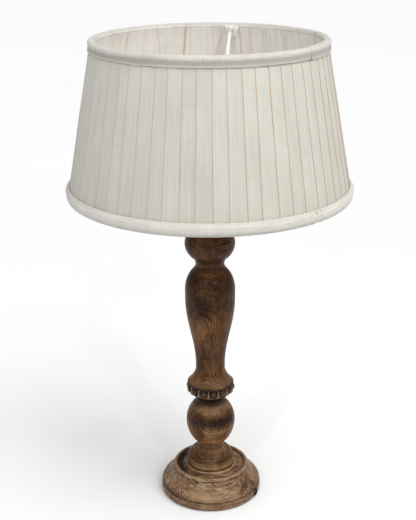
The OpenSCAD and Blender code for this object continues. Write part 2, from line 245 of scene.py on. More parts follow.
class Paint:
    """A material under construction, with short names for the nodes that it needs."""

    def __init__(self, name, **values):
        self.material = bpy.data.materials.new(name)
        self.material.use_nodes = True
        self.tree = self.material.node_tree
        self.shader = self.tree.nodes["Principled BSDF"]
        for socket, value in values.items():
            self.shader.inputs[socket.replace("_", " ")].default_value = value

    def feed(self, socket, value):
        """Links a socket to another node's output, or sets the socket's own value."""
        if isinstance(value, bpy.types.NodeSocket):
            self.tree.links.new(value, socket)
        else:
            socket.default_value = value

    def add(self, kind, inputs, **settings):
        """A node of one kind, with its inputs fed by name or index."""
        node = self.tree.nodes.new(f"ShaderNode{kind}")
        for key, value in settings.items():
            setattr(node, key, value)
        for key, value in inputs.items():
            self.feed(node.inputs[key], value)
        return node

    def place(self, stretch=(1, 1, 1), shift=(0, 0, 0)):
        """Object coordinates, stretched and shifted."""
        where = self.add("TexCoord", {}).outputs["Object"]
        return self.add("Mapping", {"Vector": where, "Scale": stretch, "Location": shift}).outputs[0]

    def cloth_place(self, stretch=(1, 1, 1)):
        """The cloth's own coordinates in metres: along the strip, then across it."""
        where = self.add("UVMap", {}, uv_map="cloth").outputs[0]
        return self.add("Mapping", {"Vector": where, "Scale": stretch}).outputs[0]

    def noise(self, where, scale, detail=3.0, roughness=0.55, distortion=0.0):
        inputs = {"Vector": where, "Scale": scale, "Detail": detail}
        inputs |= {"Roughness": roughness, "Distortion": distortion}
        return self.add("TexNoise", inputs).outputs["Fac"]

    def ramp(self, source, *stops):
        """A colour ramp from (position, colour) stops; a plain number is a grey."""
        node = self.add("ValToRGB", {"Fac": source})
        elements = node.color_ramp.elements
        while len(elements) < len(stops):
            elements.new(0.5)
        for element, (position, colour) in zip(elements, stops):
            element.position = position
            if isinstance(colour, (int, float)):
                colour = (colour, colour, colour)
            element.color = (*colour, 1)
        return node.outputs["Color"]

    def sum(self, a, b, operation="ADD"):
        return self.add("Math", {0: a, 1: b}, operation=operation).outputs[0]

    def times(self, a, b):
        return self.sum(a, b, "MULTIPLY")

    def blend(self, share, a, b, mode="MIX"):
        """Colour a turning into colour b as share goes from 0 to 1."""
        node = self.add("Mix", {}, data_type="RGBA", blend_type=mode)
        for name, value in (("Factor", share), ("A", a), ("B", b)):
            socket = next(s for s in node.inputs if s.name == name and s.enabled)
            self.feed(socket, (*value, 1) if isinstance(value, tuple) else value)
        return next(s for s in node.outputs if s.enabled)

    def mask(self, name):
        """A value that the mesh carries at each point."""
        return self.add("Attribute", {}, attribute_name=name).outputs["Fac"]

    def colour(self, source):
        self.feed(self.shader.inputs["Base Color"], source)

    def rough(self, source, low, high):
        """Roughness from low to high, as the source goes from 0 to 1."""
        self.feed(self.shader.inputs["Roughness"], self.ramp(source, (0.0, low), (1.0, high)))

    def bump(self, height, depth_mm):
        node = self.add("Bump", {"Height": height, "Strength": 1.0, "Distance": depth_mm * MM})
        self.feed(self.shader.inputs["Normal"], node.outputs[0])


# ---- materials ----


def floor_paint():
    paint = Paint("floor_paint", Roughness=0.9, Specular_IOR_Level=0.1)
    cloud = paint.noise(paint.place(), 1.5)
    paint.colour(paint.ramp(cloud, (0.3, (0.955, 0.955, 0.955)), (0.7, (0.97, 0.97, 0.97))))
    return paint.material


# A lighter orange for rubbed wood and for painted highlights, and a near black for scorched wood and
# for painted shade.
RUBBED_AND_HIGHLIT_WOOD = (0.40, 0.25, 0.135)
SCORCHED_AND_SHADED_WOOD = (0.014, 0.005, 0.002)


def wood(
    name, dark, mid, light, gloss, face=(0.2, -0.95, -0.2), along="Z", layer_mm=2.4, knot=None,
    strands=0.2,
):
    """Stained and lacquered wood. Growth layers lie square to face, or round a knot when there is
    one, so they draw arches where the surface meets them flat. The fibres run along one axis, and
    strands is how much of the figure they make."""
    paint = Paint(name, Coat_Weight=gloss, Coat_Roughness=0.2, Specular_IOR_Level=0.06)
    fibre_way = {"X": (0.06, 1, 1), "Z": (1, 1, 0.06)}[along]

    if knot:
        middle, stretch = knot
        shift = tuple(-c * MM * k for c, k in zip(middle, stretch))
        depth = paint.add("VectorMath", {0: paint.place(stretch, shift)}, operation="LENGTH")
    else:
        depth = paint.add("VectorMath", {0: paint.place(), 1: face}, operation="DOT_PRODUCT")
    swirl = paint.times(paint.noise(paint.place((1, 1, 0.7)), 13, 2, 0.5), 0.034)
    ripple = paint.times(paint.noise(paint.place(), 60, 3, 0.6), 0.0045)
    depth = paint.sum(depth.outputs["Value"], paint.sum(swirl, ripple))
    layer = paint.times(depth, 1 / (layer_mm * MM))
    uneven = paint.add("TexNoise", {"W": layer, "Scale": 0.5, "Detail": 2.0}, noise_dimensions="1D")
    ring = paint.sum(paint.sum(layer, paint.times(uneven.outputs["Fac"], 1.6)), 0.0, "FRACT")
    ring = paint.ramp(ring, (0.0, 0.35), (0.12, 0.85), (0.55, 0.6), (0.86, 0.15), (1.0, 0.35))
    across = paint.add("VectorMath", {0: face, "Scale": paint.times(layer, 1.9)}, operation="SCALE")
    ends = {0: paint.place((42, 42, 42)), 1: across.outputs[0]}
    along_layers = paint.add("VectorMath", ends, operation="ADD")
    streaks = paint.noise(along_layers.outputs[0], 1.0, 5, 0.68)
    bundle_way = tuple(0.09 if k < 1 else 1 for k in fibre_way)
    bundles = paint.noise(paint.place(bundle_way, (0.5, 0.3, 0.1)), 240, 4, 0.65)
    fibres = paint.noise(paint.place(fibre_way), 900, 3, 0.65)
    pores = paint.noise(paint.place(fibre_way, (0.3, 0.1, 0.2)), 520, 1, 0.4)
    patches = paint.noise(paint.place((1, 1, 0.7), (0.7, 0.2, 0.4)), 30, 4, 0.6, 0.6)
    haze = paint.noise(paint.place(shift=(0.2, 0.5, 0.9)), 90, 3, 0.6)

    grain = paint.sum(
        paint.sum(paint.times(ring, 0.06 + 0.3 * strands), paint.times(fibres, 0.12)),
        paint.sum(paint.times(patches, 0.62 - 0.5 * strands), paint.times(haze, 0.15)),
    )
    lines = paint.sum(paint.times(streaks, 0.7 - strands), paint.times(bundles, strands))
    grain = paint.sum(grain, lines)
    stain = paint.ramp(grain, (0.66, dark), (0.785, mid), (0.93, light))
    pore_lines = paint.ramp(pores, (0.33, 0.45), (0.43, 1.0))
    stain = paint.blend(0.5, stain, pore_lines, "MULTIPLY")

    # The wear mask blends in rubbed wood and painted highlights, and the dark mask scorched wood and
    # painted shade.
    worn = paint.blend(paint.mask("wear"), stain, RUBBED_AND_HIGHLIT_WOOD)
    ragged = paint.noise(paint.place(), 150, 4, 0.65)
    blackening = paint.times(paint.mask("scorch_and_shade"), paint.sum(ragged, 0.5))
    blackening = paint.sum(blackening, 1.0, "MINIMUM")
    paint.colour(paint.blend(blackening, worn, SCORCHED_AND_SHADED_WOOD))
    paint.rough(patches, 0.36, 0.52)
    height = paint.sum(paint.times(fibres, 0.5), paint.times(pore_lines, 0.5))
    paint.bump(paint.sum(height, paint.times(ring, 0.25)), 0.14)
    return paint.material


WEAVE_MM = 0.62
WAVE_TURN = 20  # radians that a wave texture goes through in one unit, at a scale of 1


def linen(name, low, high, fold_shadow_and_marks, slub=0.5):
    """Woven cloth: threads both ways, slubs, faint streaks, painted tan shadow in the folds with
    seams and stains, and painted shade and light.
    """
    paint = Paint(
        name, Roughness=0.86, Sheen_Weight=0.18, Sheen_Roughness=0.5, Specular_IOR_Level=0.22
    )
    thread = {"Distortion": 1.6, "Detail": 1.0, "Detail Scale": 0.8}
    thread["Scale"] = 2 * math.pi / (WAVE_TURN * WEAVE_MM * MM)
    ways = [
        paint.add("TexWave", {"Vector": paint.cloth_place(), **thread}, bands_direction=way)
        for way in "XY"
    ]
    weave = paint.times(ways[0].outputs["Fac"], ways[1].outputs["Fac"])
    streaks = paint.noise(paint.cloth_place((1, 0.03, 1)), 420, 3, 0.6)
    cross = paint.noise(paint.cloth_place((0.04, 1, 1)), 520, 2, 0.6)
    clouds = paint.noise(paint.cloth_place(), 18, 3, 0.5)

    tone = paint.sum(paint.times(streaks, slub), paint.times(cross, 0.25))
    tone = paint.sum(tone, paint.times(clouds, 0.35))
    # The shade mask paints shade and light on the cloth, and in places its own tone.
    tone = paint.sum(tone, paint.times(paint.mask("shade"), 0.5))
    cloth = paint.ramp(tone, (0.35, low), (0.95, high))
    knots = paint.ramp(weave, (0.0, 0.9), (0.7, 1.0))
    cloth = paint.blend(0.6, cloth, knots, "MULTIPLY")
    # The fold mask paints tan shadow in the folds, and seams and stains.
    paint.colour(paint.blend(paint.mask("fold_shadow_and_marks"), cloth, fold_shadow_and_marks))
    height = paint.sum(paint.times(weave, 0.7), paint.times(streaks, 0.6))
    paint.bump(height, 0.22)
    return paint.material


def felt():
    """Dark felt: fine fuzz over soft tufts."""
    paint = Paint("felt", Roughness=0.95, Sheen_Weight=0.3)
    fuzz = paint.noise(paint.place(), 900, 4, 0.7)
    tufts = paint.noise(paint.place(), 140, 3, 0.6, 1.2)
    mixed = paint.sum(paint.times(fuzz, 0.6), paint.times(tufts, 0.4))
    paint.colour(paint.ramp(mixed, (0.35, (0.018, 0.018, 0.019)), (0.7, (0.07, 0.07, 0.072))))
    paint.bump(mixed, 0.5)
    return paint.material


def metal(name, low, high, roughness, brushed="Z"):
    """Worn plate: fine lines one way and cloudy tarnish."""
    paint = Paint(name, Metallic=1.0)
    stretch = {"Z": (1, 1, 0.05), "round": (0.3, 0.3, 3.0)}[brushed]
    lines = paint.noise(paint.place(stretch), 700, 3, 0.6)
    tarnish = paint.noise(paint.place(), 60, 4, 0.6)
    paint.colour(paint.ramp(tarnish, (0.3, low), (0.7, high)))
    wear = paint.sum(paint.times(lines, 0.5), paint.times(tarnish, 0.5))
    paint.rough(wear, roughness, roughness + 0.22)
    paint.bump(lines, 0.02)
    return paint.material


def moulded(name, low, high, roughness, coat=0.0, grain=420):
    """Moulded plastic, rubber, glaze or paint: a fine orange peel and faint clouding."""
    paint = Paint(name, Coat_Weight=coat)
    peel = paint.noise(paint.place(), grain, 3, 0.6)
    clouds = paint.noise(paint.place(), 45, 3, 0.55)
    paint.colour(paint.ramp(clouds, (0.35, low), (0.65, high)))
    paint.rough(peel, roughness, roughness + 0.15)
    paint.bump(peel, 0.05)
    return paint.material


def glass(name, tint, roughness, clear):
    """Blown glass with a faint frost. clear is how much of the light goes through."""
    paint = Paint(name, Transmission_Weight=clear, IOR=1.5)
    frost = paint.noise(paint.place(), 300, 3, 0.6)
    paint.colour(paint.ramp(frost, (0.3, tint), (0.7, tuple(min(1.0, c * 1.03) for c in tint))))
    paint.rough(frost, roughness, roughness + 0.12)
    paint.bump(frost, 0.02)
    return paint.material


# ---- meshes ----


def make_piece(name, points, faces, material, body, masks=None, cloth_uv=None, sharp=35):
    """A mesh object in metres from points in millimetres, with its masks, riding on a body."""
    mesh = bpy.data.meshes.new(name)
    mesh.from_pydata([(x * MM, y * MM, z * MM) for x, y, z in points], [], faces)
    mesh.update()
    for mask, values in (masks or {}).items():
        layer = mesh.attributes.new(mask, "FLOAT", "POINT")
        layer.data.foreach_set("value", values)
    if cloth_uv:
        layer = mesh.uv_layers.new(name="cloth")
        flat = []
        for loop in mesh.loops:
            flat.extend(cloth_uv[loop.vertex_index])
        layer.data.foreach_set("uv", flat)
    mesh.shade_smooth()
    mesh.set_sharp_from_angle(angle=math.radians(sharp))
    mesh.materials.append(material)
    piece = bpy.data.objects.new(name, mesh)
    bpy.context.collection.objects.link(piece)
    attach(piece, body)
    return piece


def arc(r, z, rx, rz, a0, a1, n=16):
    """Points of an elliptical arc round (r, z), with angles in degrees."""
    turns = [math.radians(a0 + (a1 - a0) * i / n) for i in range(n + 1)]
    return [(r + rx * math.cos(a), z + rz * math.sin(a)) for a in turns]


def at_width(r, a):
    """The angle in degrees at which an ellipse of half width a is r wide."""
    return math.degrees(math.acos(r / a))


def fill_in(outline, step):
    """The outline again, with points at most a step apart."""
    points = [outline[0]]
    for (r0, z0), (r1, z1) in zip(outline, outline[1:]):
        parts = max(1, math.ceil(math.hypot(r1 - r0, z1 - z0) / step))
        for i in range(1, parts + 1):
            points.append((r0 + (r1 - r0) * i / parts, z0 + (z1 - z0) * i / parts))
    return points


def grid_faces(rows, columns, loop=True, ring=False, first=0):
    """The faces between the points of a grid, from the first point on. loop joins the ends of each
    row, and ring joins the last row to the first."""
    faces = []
    for i in range(rows if ring else rows - 1):
        here, there = first + i * columns, first + (i + 1) % rows * columns
        for k in range(columns if loop else columns - 1):
            beside = (k + 1) % columns
            faces.append((here + k, here + beside, there + beside, there + k))
    return faces


def lathe(name, node, outline, material, carve, scorch_and_shade, wear, step=1.1):
    """A turned part. carve(angle, z, r) moves a point out, in millimetres. The two mask functions
    take
    the same three: the first gives scorch marks and painted shade, the second rubbed wear and
    painted highlights."""
    if outline[0][0] > 0:
        outline = [(BORE_R, outline[0][1]), *outline, (BORE_R, outline[-1][1])]
    profile = fill_in(outline, step)
    points, darkening_values, worn = [], [], []
    for r, z in profile:
        for k in range(TURN):
            angle = 2 * math.pi * k / TURN
            out = carve(angle, z, r) if r > BORE_R + 2 else 0.0
            points.append(at(r + out, angle, z))
            darkening_values.append(scorch_and_shade(angle, z, r))
            worn.append(wear(angle, z, r))
    faces = grid_faces(len(profile), TURN, ring=profile[0][0] > 0)
    masks = {"scorch_and_shade": darkening_values, "wear": worn}
    piece = make_piece(name, points, faces, material, "stand", masks)
    weld_poles(piece)
    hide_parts(node)


def weld_poles(piece):
    """Joins the points that meet on the axis."""
    hair = 1e-6
    work = bmesh.new()
    work.from_mesh(piece.data)
    poles = [v for v in work.verts if math.hypot(v.co.x, v.co.y) < hair]
    bmesh.ops.remove_doubles(work, verts=poles, dist=hair)
    bmesh.ops.recalc_face_normals(work, faces=work.faces)
    work.to_mesh(piece.data)
    work.free()


def wobble(x, y, z, scale, seed):
    """Smooth noise from -1 to 1; scale is in features per millimetre."""
    return noise.noise(Vector((x * scale + seed, y * scale - seed, z * scale + 2 * seed)))


def around(angle, z, r, scale, seed):
    """Noise on the surface of a turned part."""
    return wobble(*at(r, angle, z), scale, seed)


def hand_turned(seed):
    """The faint waviness of work turned and sanded by hand."""
    depth = 0.12

    def waves(angle, z, r):
        return depth * around(angle, z, r, 0.06, seed) + 0.4 * depth * wobble(0, 0, z, 0.5, seed)

    return waves


# ---- the wooden stand ----


def dark_line(z, height, width, angle, seed):
    """A dark line at one height, a little uneven on its way round: a scorch mark, and under the bead
    collar painted shade as well.
    """
    drift = 0.35 * ring_noise(angle, 3, seed)
    return bell(z, height + drift * width, width)


def spot(angle, z, r, azimuth, height, width, tall, seed):
    """A knot or stain on a turned part. Its azimuth is in degrees from the front, to the right."""
    across = r * math.sin(angle - facing(azimuth))
    if turn_apart(angle, facing(azimuth)) > math.pi / 2:
        return 0.0
    ragged = 1 + 0.45 * around(angle, z, r, 0.12, seed) + 0.25 * around(angle, z, r, 0.4, seed + 5)
    return math.exp(-((((across / width) ** 2) + ((z - height) / tall) ** 2) * ragged) ** 1.3)


def build_base():
    step_z = 33.5
    slope = [
        (7.8, 21.6), (5.3, 24.6), (3.6, 27.2), (2.1, 29.8), (0.7, 31.9), (-0.7, 33.1), (-1.2, 33.9)
    ]
    outline = [
        (0, FELT_T),
        *arc(BASE_R - 1.2, FELT_T + 1.2, 1.2, 1.2, -90, 0, 6),
        (BASE_R, BAND_H - 1.6),
        *arc(BASE_R - 0.8, BAND_H - 1.4, 0.8, 0.9, 0, 80, 4),
        (BASE_R - 1.6, BAND_H),
        (BASE_R - 0.7, BAND_H + 0.7),
        *arc(BASE_R - 9, BAND_H + 0.8, 8.6, 8.2, 10, 58, 14),
        *[(DISC_R + out, z) for out, z in slope],
        *arc(DISC_R - 3.0, DISC_H - 3.0, 3.0, 3.0, -12, 110, 14),
        *arc(DISC_R - 9, DISC_H - 1.2, 3.6, 2.2, -8, -165, 14),
        (RING_R + 0.5, DISC_H - 2.4),
        *arc(RING_R - 1, DISC_H - 1.4, 1, 1.2, 0, 90, 6),
        (DOME_R + 0.9, DISC_H + 0.3),
        (DOME_R + 0.1, DISC_H + 0.5),
        (DOME_R - 0.8, DOME_BASE - 0.6),
        (DOME_R - 1.6, DOME_BASE - 1.5),
        (0, DOME_BASE - 1.5),
    ]

    # Dark marks: scorched grooves and lines, a crack and stains, and painted shade. left darkens the
    # left side, away from the light, with scorch and painted shade; the dark ring round the cable
    # gland is painted shadow with some scorch; edge darkens the bottom rim next to the felt.
    def scorch_and_shade(angle, z, r):
        left = ease(1.5 - 1.25 * turn_apart(angle, math.radians(190)))
        blackening = ease(2.1 - 2.3 * turn_apart(angle, math.radians(180)))
        groove = step = 0.0
        if r > BASE_R - 5:
            groove = (0.8 + 0.2 * left) * dark_line(z, BAND_H, 0.75, angle, 1.0)
        if DISC_R - 2 < r < DISC_R + 2:
            step = 0.9 * dark_line(z, step_z, 0.6, angle, 2.0)
        hollow = 0.0
        if RING_R < r < DISC_R - 4.2:
            inner_line = 0.3 * bell(r, RING_R + 0.6, 1.2)
            outer_line = 0.7 * bell(r, DISC_R - 5.4, 1.3)
            floor = 1.1 * blackening * ease((r - RING_R - 2) / 3)
            hollow = max(floor, outer_line, inner_line, 0.15, 0.3 * left)
        flank = 0.12 * ease((BAND_H - 0.5 - z) / 1.5) if r > BASE_R - 3 else 0.0
        foot = 0.2 * bell(r, DOME_R - 0.4, 0.9) if z > DISC_H - 3 and r < RING_R - 1 else 0.0
        rim = 0.85 * max(left, ease(1.3 - 1.4 * turn_apart(angle, math.radians(-10))))
        smoke = rim * bell(z, 13.5, 3.2) if r > BASE_R - 12 else 0.0
        gland = turn_apart(angle, INLET_AZIMUTH - math.pi / 2) * BASE_R
        gland_shadow_and_scorch = bell(math.hypot(gland, z - INLET_Z), 3.0, 3.4) if r > BASE_R - 3 else 0.0
        edge = 0.5 * bell(z, FELT_T, 1.0) if r > BASE_R - 3 else 0.0
        crack = 0.9 * spot(angle, z, r, -22, 32, 3.4, 1.2, 5.0) if r > DISC_R - 3 else 0.0
        if DISC_R - 2 < r < DISC_R + 1:
            crack = max(crack, spot(angle, z, r, -28, 34.4, 2.2, 1.6, 3.0))
        right = 0.35 * spot(angle, z, r, 52, 20, 18, 8, 8.0) if r > DISC_R else 0.0
        return max(groove, step, hollow, foot, smoke, edge, crack, right, gland_shadow_and_scorch, flank)

    # Lighter orange: rubbed rims, where the ring's thin light line is partly painted highlight, and
    # a painted highlight on the front of the slope.
    def wear(angle, z, r):
        rough = 0.7 + 0.6 * around(angle, z, r, 0.15, 4.0)
        rim = 0.55 * bell(math.hypot(r - DISC_R + 2.0, z - DISC_H + 0.6), 0, 2.0) * rough
        ring = 0.6 * bell(math.hypot(r - RING_R + 1, z - DISC_H), 0, 1.3) * rough
        front = bell(turn_apart(angle, math.radians(-88)), 0, 0.55)
        painted_highlight = 0.0
        if r > DISC_R:
            painted_highlight = 1.1 * front * bell(z, 19, 6) * (0.6 + 0.8 * around(angle, z, r, 0.06, 6.0))
        return max(0.0, min(1.0, max(rim, ring, painted_highlight)))

    stain = wood(
        "base_wood", (0.100, 0.050, 0.025), (0.215, 0.122, 0.065), (0.42, 0.295, 0.19),
        gloss=0.18, face=(0.1, -0.35, 0.93), along="X", layer_mm=2.2, strands=0.5,
    )
    carve = hand_turned(11.0)
    lathe("base_wood_turned", "base_plate", outline, stain, carve, scorch_and_shade, wear)


# Knots and stains on the ball: strength, direction in degrees from the front, height, half width,
# half height, and the seed of the ragged edge.
BALL_KNOTS = [
    (1.0, 0, 109, 6.0, 6.0, 1.0),
    (1.2, 28, 110.5, 8.0, 7.5, 2.0),
    (1.1, 52, 111, 14, 12, 3.0),
    (0.6, -34, 110, 12, 5.5, 4.0),
    (1.0, 8, 110, 42, 10.5, 9.0),
    (0.3, 30, 92, 40, 5, 11.0),
    (0.3, 75, 118, 8, 16, 6.0),
    (0.5, 160, 100, 7, 6, 7.0),
    (0.5, -120, 96, 14, 5, 8.0),
]


def build_lower_baluster():
    outline = [
        (DOME_R - 1.0, DOME_BASE - 1.5),
        (DOME_R - 0.4, DOME_BASE),
        *arc(DOME_R - 2.6, DOME_WIDE_Z - 1.8, 2.5, 2.7, -28, 40, 8),
        *arc(NECK_R - 2, DOME_WIDE_Z, DOME_R - NECK_R + 2, DOME_TOP - DOME_WIDE_Z, 9, 80, 24),
        (NECK_R, DOME_TOP + 1.0),
        (NECK_R, DOME_TOP + 4),
        *arc(0, BALL_Z, BALL_R, BALL_LOW_H, -at_width(NECK_R, BALL_R), 0, 32),
        *arc(0, BALL_Z, BALL_R, BALL_HIGH_H, 2, at_width(VASE_NECK_R, BALL_R), 28),
        (VASE_NECK_R - 0.2, COLLAR_FOOT),
    ]

    def scorch_and_shade(angle, z, r):
        neck = 0.5 * dark_line(z, DOME_TOP + 4, 3.0, angle, 3.0)
        # The dark line under the bead collar is scorch with painted shade under the collar.
        top = 0.6 * dark_line(z, COLLAR_FOOT, 3.0, angle, 4.0)
        foot = 0.45 * bell(z, DOME_BASE - 0.5, 1.0)
        smoke = 0.5 + 0.3 * around(angle, z, r, 0.12, 24.0)
        dome = smoke * ease((z - 46.5) / 4) * ease((DOME_TOP + 1 - z) / 4)
        marks = [strength * spot(angle, z, r, *where) for strength, *where in BALL_KNOTS]
        return max(neck, top, foot, dome, *marks)

    def wear(angle, z, r):
        # A lighter orange band low on the dome: the wood's own tone with painted light.
        dome_tone_and_light = 0.7 * bell(z, 43.5, 2.8) * (0.6 + 0.6 * around(angle, z, r, 0.1, 22.0))
        return max(0.0, dome_tone_and_light, 0.2 * bell(z, 125, 5), 0.25 * bell(z, DOME_TOP - 1, 2.6))

    stain = wood(
        "ball_wood", (0.032, 0.010, 0.003), (0.118, 0.049, 0.015), (0.30, 0.16, 0.068),
        gloss=0.16, face=(0.3, -0.3, 0.9), layer_mm=2.5, knot=((9, -34, 107), (0.42, 0.55, 1.0)),
    )
    carve = hand_turned(21.0)
    lathe(
        "lower_baluster_turned", "lower_baluster", outline, stain, carve, scorch_and_shade, wear
    )


def bead_phase(angle):
    """Where an angle lies within its bead, from -1 to 1, with a bead a little right of the front."""
    share = (angle - FIRST_BEAD) / (2 * math.pi / BEADS)
    return 2 * (share - round(share))


def in_bead(angle, z):
    """Where a point lies in its bead, across and up. Both are 1 at the bead's own edge."""
    return bead_phase(angle) / BEAD_SHARE, (z - BEAD_Z) / BEAD_HALF_H


def build_bead_collar():
    low, high = BEAD_Z - BEAD_BAND, BEAD_Z + BEAD_BAND
    bead_depth, fence_depth = 3.4, 2.4
    outline = [
        (VASE_NECK_R, COLLAR_FOOT),
        (VASE_NECK_R + 0.2, COLLAR_FOOT + 2.4),
        (20.4, COLLAR_FOOT + 6.2),
        (24.2, COLLAR_FOOT + 10.4),
        (28.0, low),
        (BEAD_R, BEAD_Z),
        (BEAD_R, high),
        (29.6, high + 0.7),
        (29.8, VASE_FOOT),
    ]

    def bead(angle, z):
        """How much of a bead is here, from 0 to 1."""
        across, up = in_bead(angle, z)
        return math.sqrt(max(0.0, 1 - across * across - up * up))

    def fence(angle, z):
        """The thin ridge left standing round the foot of each bead and between two beads."""
        across, up = in_bead(angle, z)
        rim = bell(math.hypot(across, up), 1.22, 0.13) * ease((0.5 - up) / 0.5)
        post = bell(abs(bead_phase(angle)), 1.0, 0.13)
        return max(rim, post) * ease((5.8 - abs(z - BEAD_Z)) / 1.2)

    def carve(angle, z, r):
        if abs(z - BEAD_Z) > 6.4:
            return 0.1 * around(angle, z, r, 0.1, 31.0)
        tool = 0.18 * around(angle, z, r, 0.35, 32.0)
        return bead_depth * bead(angle, z) + fence_depth * fence(angle, z) + tool

    def scorch_and_shade(angle, z, r):
        if z > high + 0.5:
            return 0.9 * dark_line(z, high + 1.2, 1.2, angle, 5.0)
        in_band = ease((6.2 - abs(z - BEAD_Z)) / 1.0)
        polish = 0.2 * max(0.0, around(angle, z, r, 0.3, 33.0))
        # The hollow under the beads is dark: scorch with painted shade under the bead band.
        underside_scorch_and_shade = 1.1 * ease((low - 0.6 - z) / 1.6)
        return max(underside_scorch_and_shade, in_band * (1 - fence(angle, z)) * (1.15 - 0.4 * bead(angle, z) - polish))

    def wear(angle, z, r):
        return 0.7 * fence(angle, z) + 0.35 * bell(z, low - 1.0, 1.0)

    stain = wood(
        "collar_wood", (0.05, 0.022, 0.009), (0.12, 0.058, 0.024), (0.24, 0.135, 0.065), gloss=0.34
    )
    lathe(
        "bead_collar_carved", "bead_collar", outline, stain, carve, scorch_and_shade, wear, step=0.4
    )


def build_vase():
    rise = VASE_NECK_Z - 4 - VASE_FOOT
    skirt = [
        (VASE_NECK_R + 11.3 * (1 - i / 16) ** 1.9, VASE_FOOT + rise * i / 16) for i in range(17)
    ]
    swell = [
        (
            VASE_NECK_R + (VASE_R - VASE_NECK_R) * (1 - math.cos(math.pi * i / 48)) / 2,
            VASE_NECK_Z + (VASE_FULL_Z - VASE_NECK_Z) * i / 48,
        )
        for i in range(49)
    ]
    outline = [
        *skirt,
        *swell,
        *arc(0, SHOULDER_Z, VASE_R, SHOULDER_H, 0, at_width(CAP_WAIST_R, VASE_R), 32),
        (NECK_R + 2.9, CAP_FOOT - 4.0),
        (NECK_R + 2.0, CAP_FOOT - 2.2),
        (NECK_R + 1.5, CAP_FOOT - 0.5),
        (NECK_R + 1.4, CAP_FOOT),
    ]

    def scorch_and_shade(angle, z, r):
        hem = 0.95 * dark_line(z, VASE_FOOT, 1.1, angle, 6.0)
        # Darker towards the shoulder: dark stain with painted shadow from the shade above.
        cloud = 14 * around(angle, z, r, 0.03, 8.0)
        stain_and_shadow = 0.66 * ease((z + cloud - 240) / 35) * (1 - 0.7 * ease((z - 308) / 8))
        smoke = 0.8 * spot(angle, z, r, -55, 268, 14, 16, 9.0)
        foot = 0.55 * bell(z, 203, 28)
        neck = 0.5 * ease((z - 312) / 6)
        return max(hem, stain_and_shadow, smoke, foot, neck)

    def wear(angle, z, r):
        return 0.16 * bell(z, VASE_FOOT + 6, 7)

    stain = wood(
        "vase_wood", (0.020, 0.006, 0.001), (0.083, 0.031, 0.008), (0.21, 0.102, 0.038),
        gloss=0.12, face=(-0.24, -0.95, -0.2), layer_mm=2.1,
    )
    carve = hand_turned(41.0)
    lathe("vase_turned", "upper_baluster", outline, stain, carve, scorch_and_shade, wear)


def build_cap_ball():
    low = -at_width(CAP_WAIST_R, CAP_R)
    outline = [
        (NECK_R + 1.4, CAP_FOOT),
        (NECK_R + 1.5, CAP_FOOT + 1.6),
        (NECK_R + 2.0, CAP_FOOT + 3.8),
        (NECK_R + 3.0, CAP_FOOT + 6.6),
        *arc(0, CAP_Z, CAP_R, CAP_HALF_H, low, at_width(NECK_R, CAP_R), 48),
        (NECK_R, COLUMN_TOP - 3),
        (NECK_R - 0.6, COLUMN_TOP),
    ]

    def scorch_and_shade(angle, z, r):
        return 0.35 * bell(z, CAP_FOOT + 8, 5.0)

    def wear(angle, z, r):
        return 0.05 * bell(z, CAP_FOOT, 3.0)

    stain = wood(
        "cap_wood", (0.010, 0.003, 0.001), (0.040, 0.015, 0.005), (0.105, 0.046, 0.017),
        gloss=0.14, face=(0.3, -0.5, 0.8), layer_mm=3.2,
    )
    carve = hand_turned(51.0)
    lathe("cap_ball_turned", "cap_ball", outline, stain, carve, scorch_and_shade, wear)


# ---- the shade ----


def sweep_sheet(
    name, node, columns, rows, place, fold_shadow_and_marks, shade, material, thick, closed=True,
):
    """A cloth surface from place(column, row) -> (x, y, z), with its own coordinates. The two mask
    functions take the same two: the first gives painted shadow in the folds, with seams and stains,
    the second painted shade and light, in places with the cloth's own tone. thick is in millimetres."""
    points = [place(i, j) for j in range(rows) for i in range(columns)]
    faces = grid_faces(rows, columns, loop=closed)
    along = [0.0]
    for i in range(1, columns):
        along.append(along[-1] + (Vector(points[i]) - Vector(points[i - 1])).length)
    middle = columns // 3
    across = [0.0]
    for j in range(1, rows):
        a, b = points[j * columns + middle], points[(j - 1) * columns + middle]
        across.append(across[-1] + (Vector(a) - Vector(b)).length)
    uv = [(along[i] * MM, across[j] * MM) for j in range(rows) for i in range(columns)]
    masks = {
        mask: [value(i, j) for j in range(rows) for i in range(columns)]
        for mask, value in (("fold_shadow_and_marks", fold_shadow_and_marks), ("shade", shade))
    }
    piece = make_piece(name, points, faces, material, "shade", masks, uv, sharp=60)
    body = piece.modifiers.new("cloth_thickness", "SOLIDIFY")
    body.thickness = thick * MM
    body.offset = 0
    if node:
        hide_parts(node)


